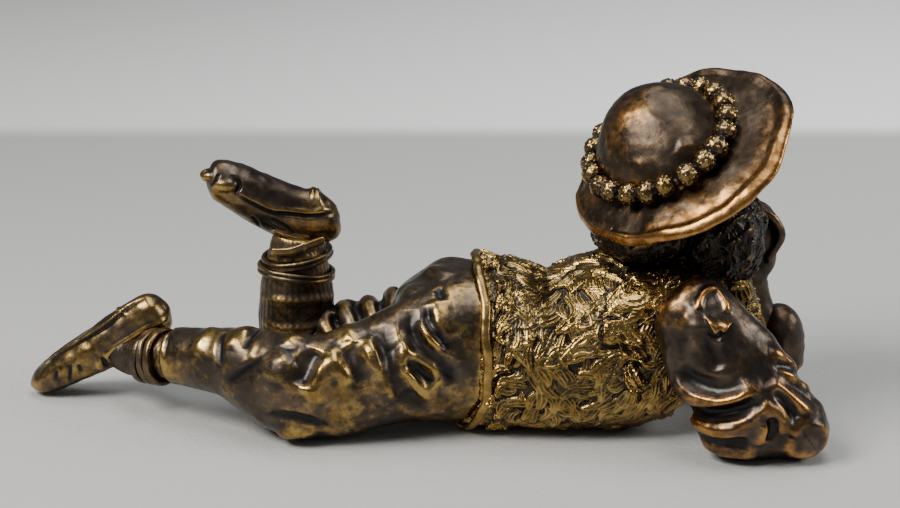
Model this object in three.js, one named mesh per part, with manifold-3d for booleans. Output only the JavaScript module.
// A bronze statuette of a country boy lying on his front, propped on his elbows, with one foot raised.
// It is an assembly of separate castings held together by hidden pins and one stud with a nut.
// Units are millimetres. +X runs from the feet to the head, +Z is up, and the figure's right side faces -Y.
// The origin is on the surface that the statuette lies on, under the middle of its box.
import * as THREE from "three";
import { mergeVertices } from "three/addons/utils/BufferGeometryUtils.js";
import Module from "manifold-3d";

const wasm = await Module();
wasm.setup();

// ---- Driving dimensions ----
const GAP = 0.3; // clearance between neighbouring castings
const PIN_RADIUS = 1.5; // dowels that join the castings
const THIN_PIN_RADIUS = 1.1; // dowels at the wrists
const STUD_RADIUS = 2.2; // the stud that draws the breeches to the torso
const BORE_CLEARANCE = 0.3; // radial, between a pin and its hole
const HOLLOW_WIDTH = 14; // the core hollow under the torso
const HOLLOW_FROM = 13;
const HOLLOW_TO = 45;
const HOLLOW_HEIGHT = 29;
const BAND_THICKNESS = 1.1; // strips wound round the ankles
const HEM_FROM = 4.4;
const HEM_WIDTH = 0.4; // before it is thickened
const HEM_THICKNESS = 0.8;
const BRIM_RADIUS = 25.4;
const CROWN_RADIUS = 13.4;
const CROWN_HEIGHT = 13.2;
const CROWN_LEAN = 0.2; // forward and to the right, for each millimetre up
const BRIM_THICKNESS = 1.8;
const BEAD_COUNT = 22;
const BEAD_RADIUS = 2.1;
const BEAD_RING_RADIUS = 16.3;
const BEAD_RING_HEIGHT = 3.6;
const CORD_RADIUS = 0.8;

const V = (x, y, z) => new THREE.Vector3(x, y, z);
const ALONG = V(1, 0, 0);
const ACROSS = V(0, 1, 0);

// ---- Solids ----
// A closed geometry as a solid that can be joined and cut.
function solid(geometry) {
  const bare = geometry.index ? geometry.toNonIndexed() : geometry.clone();
  bare.deleteAttribute("normal");
  bare.deleteAttribute("uv");
  const merged = mergeVertices(bare, 1e-4);
  const vertProperties = merged.attributes.position.array;
  const triVerts = new Uint32Array(merged.index.array);
  return new wasm.Manifold(new wasm.Mesh({ numProp: 3, vertProperties, triVerts }));
}

const join = (...solids) => solids.reduce((a, b) => a.add(b));
const cut = (from, ...tools) => tools.reduce((a, b) => a.subtract(b), from);

// The rigid placement that puts +Y on `direction` and the origin at `at`.
function placed(geometry, at, direction) {
  const turn = new THREE.Quaternion().setFromUnitVectors(ACROSS, direction.clone().normalize());
  return geometry.applyQuaternion(turn).translate(at.x, at.y, at.z);
}

// How much a section shrinks at position t, so that an end of length `start` or `end` is rounded off.
function rounding(t, start, end) {
  const near = start > 0 ? Math.min(1, t / start) : 1;
  const far = end > 0 ? Math.min(1, (1 - t) / end) : 1;
  const bow = (k) => Math.sqrt(Math.max(0.09, 1 - (1 - k) ** 2));
  return bow(near) * bow(far);
}

// How far out a superellipse lies in the direction (x, y), beside a unit circle.
const superellipse = (x, y, power) => (Math.abs(x) ** power + Math.abs(y) ** power) ** (-1 / power);

// A body lofted through stations [x, y, z, half width, half height], by bending a unit cylinder
// onto their spine. `side` is the direction that the half width is measured in, and `grow` makes
// the body that much bigger all over.
// `belly` above 2 squares off the lower half of each section, and `warp` moves each finished point.
function loft(stations, options = {}) {
  const { side = ACROSS, around = 14, along = 11, start = 0.12, end = 0.12 } = options;
  const { belly = 2, grow = 0, warp = null } = options;
  const spine = new THREE.CatmullRomCurve3(stations.map(([x, y, z]) => V(x, y, z)));
  const sizes = new THREE.CatmullRomCurve3(stations.map(([, , , w, h]) => V(w, h, 0)));
  const geometry = new THREE.CylinderGeometry(1, 1, 1, around, along);
  const points = geometry.attributes.position;
  for (let i = 0; i < points.count; i++) {
    const t = THREE.MathUtils.clamp(points.getY(i) + 0.5, 0, 1);
    const centre = spine.getPoint(t);
    const forward = spine.getTangent(t);
    const wide = side.clone().addScaledVector(forward, -side.dot(forward)).normalize();
    const high = forward.clone().cross(wide);
    const size = sizes.getPoint(t);
    const shrink = rounding(t, start, end);
    const [across, upward] = [-points.getX(i), points.getZ(i)];
    const reach = Math.hypot(across, upward) || 1;
    const bulge = upward < 0 ? superellipse(across / reach, upward / reach, belly) : 1;
    centre.addScaledVector(wide, across * bulge * (size.x * shrink + grow));
    centre.addScaledVector(high, upward * bulge * (size.y * shrink + grow));
    if (grow) centre.addScaledVector(forward, t < 0.001 ? -grow : t > 0.999 ? grow : 0);
    if (warp) warp(centre);
    points.setXYZ(i, centre.x, centre.y, centre.z);
  }
  return solid(geometry);
}

function ellipsoid(at, radii, { turn = [0, 0, 0], grow = 0, around = 12, along = 9 } = {}) {
  const geometry = new THREE.SphereGeometry(1, around, along);
  geometry.scale(radii[0] + grow, radii[1] + grow, radii[2] + grow);
  geometry.applyQuaternion(new THREE.Quaternion().setFromEuler(new THREE.Euler(...turn)));
  return solid(geometry.translate(...at));
}

function rod(from, to, radius, segments = 16) {
  const span = to.clone().sub(from);
  const geometry = new THREE.CylinderGeometry(radius, radius, span.length(), segments);
  return solid(placed(geometry, from.clone().add(to).multiplyScalar(0.5), span));
}

// A flat strip wound once round a limb.
function band(at, direction, innerRadius, width) {
  const [inner, outer] = [innerRadius, innerRadius + BAND_THICKNESS];
  const corners = [[inner, -1], [outer, -1], [outer, 1], [inner, 1], [inner, -1]];
  const profile = corners.map(([r, side]) => new THREE.Vector2(r, (side * width) / 2));
  return solid(placed(new THREE.LatheGeometry(profile, 20), at, direction));
}

// A dowel or stud: the rod, and the bore that it sits in.
function pin(from, to, radius = PIN_RADIUS) {
  const reach = to.clone().sub(from).setLength(BORE_CLEARANCE);
  const bore = rod(from.clone().sub(reach), to.clone().add(reach), radius + BORE_CLEARANCE, 12);
  return { body: rod(from, to, radius, 12), bore };
}

const belowGround = solid(new THREE.BoxGeometry(400, 400, 100).translate(0, 0, -50));
const onGround = (body) => cut(body, belowGround);

// ---- Torso in its fleece waistcoat ----
// The hem swings forward over each flank and back under the belly.
function hemSwing(point) {
  const near = Math.exp(-(((point.x - 5) / 12) ** 2));
  const flank = Math.min(1, Math.abs(point.y) / 20);
  const under = Math.max(0, 1 - point.z / 9);
  point.x += near * (1.2 + 2.6 * flank - 4.2 * under);
}

const torsoStations = [
  [3, 0, 18.5, 19, 19],
  [7, 0, 18.3, 19.8, 19],
  [14, 0, 17.6, 20.6, 18.2],
  [22, 0, 16.6, 20.8, 17.4],
  [33, 0, 18, 21, 19.2],
  [43, 0, 20.6, 20.4, 19.4],
  [51, 0, 24, 17.8, 17],
  [57, 0, 27, 13.5, 13],
  [61, 0, 28.5, 10, 9],
];
const torso = (grow = 0) =>
  loft(torsoStations, { around: 22, along: 14, start: 0, end: 0.2, belly: 3, warp: hemSwing, grow });

// The smooth border of the hem is a ring that hugs the torso from HEM_FROM for HEM_WIDTH.
function hem() {
  const shape = { around: 22, along: 1, start: 0, end: 0, belly: 3, warp: hemSwing };
  const section = [0, 18.5, 19, 19];
  const ends = (overhang) => [
    [HEM_FROM - overhang, ...section],
    [HEM_FROM + HEM_WIDTH + overhang, ...section],
  ];
  const outside = loft(ends(0), { ...shape, grow: GAP + HEM_THICKNESS });
  return onGround(cut(outside, loft(ends(3), { ...shape, grow: GAP }), torso(GAP)));
}

function torsoHollow() {
  const length = HOLLOW_TO - HOLLOW_FROM;
  const block = new THREE.BoxGeometry(length, HOLLOW_WIDTH, 2 * HOLLOW_HEIGHT - HOLLOW_WIDTH);
  block.translate((HOLLOW_FROM + HOLLOW_TO) / 2, 0, 0);
  const vault = new THREE.CylinderGeometry(HOLLOW_WIDTH / 2, HOLLOW_WIDTH / 2, length, 20);
  const at = V((HOLLOW_FROM + HOLLOW_TO) / 2, 0, HOLLOW_HEIGHT - HOLLOW_WIDTH / 2);
  return join(solid(block), solid(placed(vault, at, ALONG)));
}

// ---- Breeches ----
const hipStations = [
  [9, 0, 18.5, 14.5, 15.5],
  [2, 0, 18.6, 17, 17],
  [-3, 0, 17.4, 17, 15.8],
  [-9, 0, 14.6, 15.5, 12],
  [-15, 0, 12.2, 11, 8.5],
];
const rightLegStations = [
  [4, -9, 17, 9.8, 15.6],
  [-7, -11, 16.6, 9.9, 14.8],
  [-16, -13.5, 14.6, 9.6, 12.8],
  [-25, -15, 12.6, 9.5, 12],
  [-33, -15, 11.8, 9.8, 12],
  [-41, -11.5, 13.2, 8.8, 10.8],
  [-49, -7.5, 14.6, 7.4, 8.6],
  [-57, -3.4, 14.3, 6.6, 7.2],
  [-64.5, 0.6, 13.6, 6.1, 6.8],
];
const leftThighStations = [
  [0, 8.5, 18, 9, 12.5],
  [-9, 12, 15, 9.2, 10.8],
  [-18, 15, 12.4, 9, 9.6],
  [-27, 17, 10.4, 9, 9],
  [-35, 18, 9.4, 9, 9],
  [-41, 18, 8.5, 8, 8],
];
const hips = (grow = 0) =>
  loft(hipStations, { around: 18, along: 7, start: 0, end: 0.3, belly: 2.6, warp: hemSwing, grow });
const rightLeg = (grow = 0) =>
  loft(rightLegStations, { around: 16, along: 16, start: 0, end: 0.03, warp: hemSwing, grow });
const leftThigh = (grow = 0) => loft(leftThighStations, { start: 0.1, end: 0.14, grow });

// ---- Stockings ----
const leftShinStations = [
  [-36.6, 18, 8, 8.6, 8],
  [-36.6, 18, 16, 9, 8.4],
  [-36.4, 18, 24, 8.6, 8],
  [-36.2, 18, 30, 7.6, 7],
  [-35.8, 18, 34, 6.6, 6.2],
  [-35.4, 18, 38, 5.8, 5.2],
];
const rightAnkleStations = [
  [-60, -1, 14, 4.6, 5],
  [-66, 1.5, 12.8, 4.8, 5.2],
  [-70, 3.9, 11.8, 4.4, 5],
  [-74, 6.4, 11, 3.8, 4.4],
  [-78, 9, 11.5, 3.4, 4],
];
const leftShin = (grow = 0) =>
  loft(leftShinStations, { side: ALONG, along: 9, start: 0.05, end: 0.05, grow });
const rightAnkle = (grow = 0) => loft(rightAnkleStations, { along: 7, start: 0.02, end: 0.05, grow });

// ---- Strips wound round the ankles: [middle, direction of the ankle there, inner radius, width] ----
const RIGHT_BANDS = [
  [V(-66, 1.5, 12.8), V(-1, 0.56, -0.22), 5.6, 1.2],
  [V(-67.8, 2.55, 12.5), V(-1, 0.58, -0.14), 5.5, 1.2],
  [V(-69.6, 3.6, 12.1), V(-1, 0.6, -0.06), 5.3, 1.2],
];
const LEFT_BANDS = [
  [V(-36.3, 18, 28.6), V(0.06, 0.08, 1), 8.3, 1.8],
  [V(-36, 18, 32.2), V(-0.08, -0.06, 1), 7.6, 1.5],
];
// The strap that crosses from the heel down to the front of the left ankle.
const STRAP = [
  [-29.6, 12, 37.6, 0.9, 0.7],
  [-33, 11, 36.6, 1.1, 0.7],
  [-37, 10.6, 35.4, 1.2, 0.7],
  [-41, 12, 34.8, 1.2, 0.7],
];
const leftStrap = () => loft(STRAP, { side: V(0.3, 0, 1), around: 8, along: 6 });

// ---- Shoes ----
const leftShoeStations = [
  [-26.2, 18.5, 43, 3.4, 4.6],
  [-30, 18.3, 41.8, 4.6, 6.6],
  [-36, 18, 42.2, 4.8, 6.6],
  [-43, 17.6, 45.4, 5, 6.2],
  [-49, 17.2, 48.8, 5.4, 5.6],
  [-53.5, 16.8, 51, 5, 4.8],
  [-56.5, 16.6, 51.6, 3.6, 3.4],
];
const rightShoeStations = [
  [-66, 9.8, 22.6, 3.4, 3.8],
  [-69.5, 10, 20.2, 4.5, 5.4],
  [-76, 10.3, 15.6, 4.6, 5.8],
  [-83, 10.7, 11, 5, 5.2],
  [-90, 11.2, 7, 5.2, 4.4],
  [-95, 11.4, 4, 4.4, 3.6],
  [-99.2, 11.4, 2, 3, 2.2],
];
const leftShoe = (grow = 0) => loft(leftShoeStations, { around: 14, along: 11, grow });
const rightShoe = (grow = 0) => loft(rightShoeStations, { around: 14, along: 11, grow });

// ---- Arms ----
const rightUpperArm = [
  [48, -14, 33, 8, 9],
  [54, -19, 28, 8.5, 10],
  [60.5, -22.5, 19, 9.4, 12],
  [67, -24.5, 11.5, 9.4, 11],
  [75, -26, 7.2, 7.8, 8],
  [81.8, -27, 5.2, 5.4, 5.6],
];
const rightForearm = [
  [76, -25, 6, 5.2, 5.6],
  [76, -18, 5.6, 5, 5.2],
  [73.5, -11, 5.2, 4.6, 4.8],
  [71, -5, 5, 4.4, 4.6],
];
const rightHandStations = [
  [72, -8, 4.6, 2.8, 2.2],
  [70, -3, 4.2, 3.2, 2.2],
  [68.4, 2, 3, 3.9, 1.9],
  [67, 7, 2, 3.6, 1.4],
  [66, 11, 1.5, 2.6, 1.1],
];
const leftUpperArm = [
  [48, 14, 33, 8, 9],
  [55, 17, 27, 8.2, 9.4],
  [62, 17.5, 18.5, 8.4, 9.4],
  [69, 14.5, 11.5, 7.6, 8.4],
  [76, 11, 7.2, 6.6, 7],
  [81, 9.4, 6.4, 5.4, 5.8],
];
const leftCuff = [
  [78, 9.4, 6, 5.6, 6],
  [76.6, 10, 10, 5.2, 5.4],
  [75.6, 10.2, 13, 4.8, 5],
];
const leftForearmStations = [
  [77, 9.6, 6, 3.8, 3.8],
  [75, 10.2, 12, 3.8, 3.9],
  [73, 11, 18.5, 3.4, 3.5],
  [71.2, 11.6, 24, 2.9, 3],
  [70.8, 12, 28, 2.8, 2.7],
];
const fistStations = [
  [70.8, 12, 27, 2.8, 2.6],
  [71.2, 12, 31, 3.6, 3],
  [72.2, 12, 35.5, 4.2, 3.4],
  [73.2, 12, 39.5, 4.2, 3.2],
];
const rightSleeve = (grow = 0) =>
  join(
    loft(rightUpperArm, { along: 10, end: 0.14, grow }),
    loft(rightForearm, { side: ALONG, around: 12, along: 5, start: 0.1, end: 0.04, grow }),
    ellipsoid([63.5, -25, 8], [10.5, 9, 9], { grow }),
  );
const rightHand = (grow = 0) =>
  loft(rightHandStations, { side: ALONG, around: 12, along: 8, start: 0.02, end: 0.16, grow });
const leftSleeve = (grow = 0) =>
  join(
    loft(leftUpperArm, { along: 10, end: 0.14, grow }),
    loft(leftCuff, { around: 12, along: 4, start: 0.1, end: 0.04, grow }),
  );
const leftForearm = (grow = 0) =>
  join(
    loft(leftForearmStations, { around: 12, along: 7, start: 0.03, end: 0.05, grow }),
    loft(fistStations, { around: 12, along: 7, start: 0.05, end: 0.14, grow }),
    ellipsoid([71.4, 12.2, 41.6], [5, 4.2, 3.4], { turn: [0, 0.7, 0], grow }),
  );

// ---- Head and hat ----
// The head is turned to its left and tipped back, and the hat sits square on it.
const HAT_AXIS = V(-0.487, -0.362, 0.795).normalize();
const HAT_CENTRE = V(47.6, 1.3, 61.7);
const AHEAD = V(0.563, 0.663, 0);
const FACING = AHEAD.clone().addScaledVector(HAT_AXIS, -AHEAD.dot(HAT_AXIS)).normalize();
const EARWARD = FACING.clone().cross(HAT_AXIS);
const headFrame = new THREE.Matrix4().makeBasis(FACING, HAT_AXIS, EARWARD).setPosition(HAT_CENTRE);
// A point so far ahead of the hat's middle, above its brim and towards the right ear.
const onHead = (ahead, above, right = 0) => V(ahead, above, right).applyMatrix4(headFrame);

function headBall(at, radii, { grow = 0, around = 14, along = 10 } = {}) {
  const geometry = new THREE.SphereGeometry(1, around, along);
  geometry.scale(radii[0] + grow, radii[1] + grow, radii[2] + grow);
  geometry.translate(...at);
  return solid(geometry.applyMatrix4(headFrame));
}
const neckStations = [
  [55, 5, 48, 6, 6],
  [53.6, 2.5, 41, 6.2, 6.2],
  [51.5, 0, 33, 5.6, 5.6],
];
const head = (grow = 0) =>
  join(
    headBall([0, -3.5, 0], [12, 12, 10.5], { grow }),
    ellipsoid([58.4, 9.4, 51.8], [8.4, 8, 8.6], { grow, around: 14, along: 10 }),
    loft(neckStations, { along: 5, start: 0.02, end: 0.04, grow }),
  );
const hair = () =>
  join(
    headBall([-3, -9, 1], [15.5, 8.5, 14]),
    ellipsoid([43, -2, 43.5], [11.5, 12, 6]),
    ellipsoid([60, -6, 44], [7.5, 8, 9.5]),
  );

// The brim by direction round the head (0 ahead, a quarter turn at the right ear):
// how far its edge stands above the crown's foot, and how much wider it is than BRIM_RADIUS.
const brimLift = (turn) =>
  -2.6 + 1.6 * Math.cos(turn) + 0.9 * Math.sin(turn) + 0.8 * Math.cos(2 * turn);
const brimSpread = (turn) => 2.6 * Math.sin(turn) - 0.9 * Math.cos(turn);
function shapeHat(geometry) {
  const points = geometry.attributes.position;
  for (let i = 0; i < points.count; i++) {
    const [x, y, z] = [points.getX(i), points.getY(i), points.getZ(i)];
    const turn = Math.atan2(z, x);
    const out = Math.max(0, (Math.hypot(x, z) - CROWN_RADIUS) / (BRIM_RADIUS - CROWN_RADIUS));
    const stretch = 1 + (brimSpread(turn) * out ** 2) / BRIM_RADIUS;
    const lean = Math.max(0, y) * CROWN_LEAN;
    const lift = brimLift(turn) * out ** 1.6;
    points.setXYZ(i, x * stretch + lean, y + lift, z * stretch + lean);
  }
  return geometry.applyMatrix4(headFrame);
}
function hat(grow = 0) {
  const half = BRIM_THICKNESS / 2 + grow;
  const rim = BRIM_RADIUS + grow;
  const profile = [[0, -half], [CROWN_RADIUS, -half], [19, -half], [rim - 0.7, -half], [rim, 0]];
  profile.push([rim - 0.7, half], [19, half]);
  profile.push([CROWN_RADIUS + 0.6, 1.2]);
  const steps = 7;
  for (let i = 1; i <= steps; i++) {
    const rise = (i / steps) * (Math.PI / 2);
    const height = Math.max(1.4, CROWN_HEIGHT * Math.sin(rise) ** 0.9);
    profile.push([CROWN_RADIUS * Math.cos(rise) ** 0.8, height]);
  }
  profile[profile.length - 1][0] = 0;
  const lathe = new THREE.LatheGeometry(profile.map(([r, y]) => new THREE.Vector2(r, y)), 30);
  return solid(shapeHat(lathe));
}
function garland() {
  const cord = new THREE.TorusGeometry(BEAD_RING_RADIUS, CORD_RADIUS, 5, BEAD_COUNT);
  cord.rotateX(Math.PI / 2);
  cord.translate(0, BEAD_RING_HEIGHT, 0);
  let ring = solid(cord.applyMatrix4(headFrame));
  for (let i = 0; i < BEAD_COUNT; i++) {
    const turn = (i / BEAD_COUNT) * 2 * Math.PI;
    const bead = new THREE.DodecahedronGeometry(BEAD_RADIUS);
    const [ahead, right] = [BEAD_RING_RADIUS * Math.cos(turn), BEAD_RING_RADIUS * Math.sin(turn)];
    bead.translate(ahead, BEAD_RING_HEIGHT, right);
    ring = ring.add(solid(bead.applyMatrix4(headFrame)));
  }
  return ring;
}

// ---- Hidden joints ----
const waistStud = pin(V(-8, 0, 17.5), V(17.5, 0, 17.5), STUD_RADIUS);
function waistNut() {
  const at = V(15.1, 0, 17.5);
  const blank = solid(placed(new THREE.CylinderGeometry(4.2, 4.2, 3, 6), at, ALONG));
  return cut(blank, waistStud.bore);
}
const thighPin = pin(V(-2, 7, 14), V(-21, 14.5, 12));
const kneePin = pin(V(-36.6, 18, 7), V(-36.5, 18, 28));
const leftAnklePin = pin(V(-36, 18, 31), V(-35.6, 18, 44));
const calfPin = pin(V(-55, -4.4, 14.4), V(-67.5, 2.4, 12.6));
const rightAnklePin = pin(V(-72, 5.1, 11.3), V(-79, 9.8, 14.2));
const rightArmPin = pin(V(44, -10, 31), V(57, -20, 25));
const leftArmPin = pin(V(44, 10, 31), V(57, 17, 25));
const rightWristPin = pin(V(73.2, -10.5, 5.1), V(69.6, -1.5, 4), THIN_PIN_RADIUS);
const leftElbowPin = pin(V(77.6, 9.4, 2.4), V(73.6, 10.8, 16.5), THIN_PIN_RADIUS);
const neckPin = pin(V(52.6, -0.6, 24), V(55.4, 3.6, 46));
const hatPin = pin(onHead(0, -7), onHead(1, 10, 1));


// ---- Castings cut to fit their neighbours and bored for the joints ----
function rightBreeches() {
  const bores = [waistStud.bore, thighPin.bore, calfPin.bore];
  return onGround(cut(join(hips(), rightLeg()), torso(GAP), ...bores));
}
function leftBreeches() {
  return onGround(cut(leftThigh(), torso(GAP), hips(GAP), rightLeg(GAP), thighPin.bore, kneePin.bore));
}
function torsoCasting() {
  const bores = [waistStud.bore, rightArmPin.bore, leftArmPin.bore, neckPin.bore];
  return cut(onGround(torso()), torsoHollow(), ...bores);
}
function leftStocking() {
  return cut(leftShin(), leftThigh(GAP), leftShoe(GAP), kneePin.bore, leftAnklePin.bore);
}
function rightStocking() {
  return cut(rightAnkle(), rightLeg(GAP), rightShoe(GAP), calfPin.bore, rightAnklePin.bore);
}
function leftSleeveCasting() {
  const neighbours = [torso(GAP), rightHand(GAP), leftForearm(GAP)];
  return onGround(cut(leftSleeve(), ...neighbours, leftArmPin.bore, leftElbowPin.bore));
}

// ---- Materials ----
const bronze = (color, roughness) => new THREE.MeshStandardMaterial({ color, roughness, metalness: 1 });
const fleece = bronze(0x8a6a34, 0.38);
const cloth = bronze(0x5e4a2f, 0.42);
const knit = bronze(0x3d3022, 0.5);
const shoeHide = bronze(0x6f5526, 0.36);
const felt = bronze(0x6b4524, 0.38);
const beads = bronze(0x8c6c38, 0.35);
const curls = bronze(0x241d17, 0.5);
const flesh = bronze(0x7a5226, 0.35);
const steel = new THREE.MeshStandardMaterial({ color: 0x8d8f92, roughness: 0.35, metalness: 1 });

// ---- Assembly ----
const group = new THREE.Group();
function add(name, body, material) {
  const { numVert, numProp, vertProperties, triVerts } = body.getMesh();
  const points = new Float32Array(numVert * 3);
  for (let i = 0; i < numVert; i++) {
    points.set(vertProperties.subarray(i * numProp, i * numProp + 3), i * 3);
  }
  const geometry = new THREE.BufferGeometry();
  geometry.setAttribute("position", new THREE.BufferAttribute(points, 3));
  geometry.setIndex(new THREE.BufferAttribute(triVerts, 1));
  const made = new THREE.Mesh(geometry, material);
  made.name = name;
  group.add(made);
}

add("torso_waistcoat", torsoCasting(), fleece);
add("waistcoat_hem", hem(), cloth);
add("breeches_right", rightBreeches(), cloth);
add("breeches_left", leftBreeches(), cloth);
add("stocking_left", leftStocking(), knit);
add("stocking_right", rightStocking(), knit);
add("shoe_left", cut(leftShoe(), leftAnklePin.bore), shoeHide);
add("shoe_right", onGround(cut(rightShoe(), rightAnklePin.bore)), shoeHide);
RIGHT_BANDS.forEach((place, i) => {
  const neighbours = [rightLeg(GAP), rightShoe(GAP), rightAnkle(GAP)];
  add(`ankle_band_right_${i + 1}`, cut(band(...place), ...neighbours), cloth);
});
LEFT_BANDS.forEach((place, i) => {
  add(`ankle_band_left_${i + 1}`, cut(band(...place), leftShin(GAP)), cloth);
});
add("ankle_strap_left", cut(leftStrap(), leftShin(GAP), leftShoe(GAP)), cloth);
add("sleeve_right", onGround(cut(rightSleeve(), torso(GAP), rightArmPin.bore, rightWristPin.bore)), cloth);
add("hand_right", onGround(cut(rightHand(), rightSleeve(GAP), rightWristPin.bore)), flesh);
add("sleeve_left", leftSleeveCasting(), cloth);
add("forearm_left", cut(leftForearm(), head(GAP), leftElbowPin.bore), flesh);
add("head", cut(head(), torso(GAP), neckPin.bore, hatPin.bore), flesh);
add("hair", cut(hair(), head(GAP), torso(GAP), hat(GAP), rightSleeve(GAP), leftForearm(GAP)), curls);
add("hat", cut(hat(), head(GAP), hatPin.bore), felt);
add("hat_garland", garland(), beads);
add("waist_stud", waistStud.body, steel);
add("waist_nut", waistNut(), steel);
add("thigh_pin", thighPin.body, steel);
add("knee_pin", kneePin.body, steel);
add("calf_pin", calfPin.body, steel);
add("ankle_pin_left", leftAnklePin.body, steel);
add("ankle_pin_right", rightAnklePin.body, steel);
add("arm_pin_right", rightArmPin.body, steel);
add("arm_pin_left", leftArmPin.body, steel);
add("wrist_pin_right", rightWristPin.body, steel);
add("elbow_pin_left", leftElbowPin.body, steel);
add("neck_pin", neckPin.body, steel);
add("hat_pin", hatPin.body, steel);

// Bring the origin under the middle of the box.
const box = new THREE.Box3().setFromObject(group);
const middle = box.getCenter(V());
group.children.forEach((mesh) => mesh.geometry.translate(-middle.x, -middle.y, -box.min.z));
export default group;
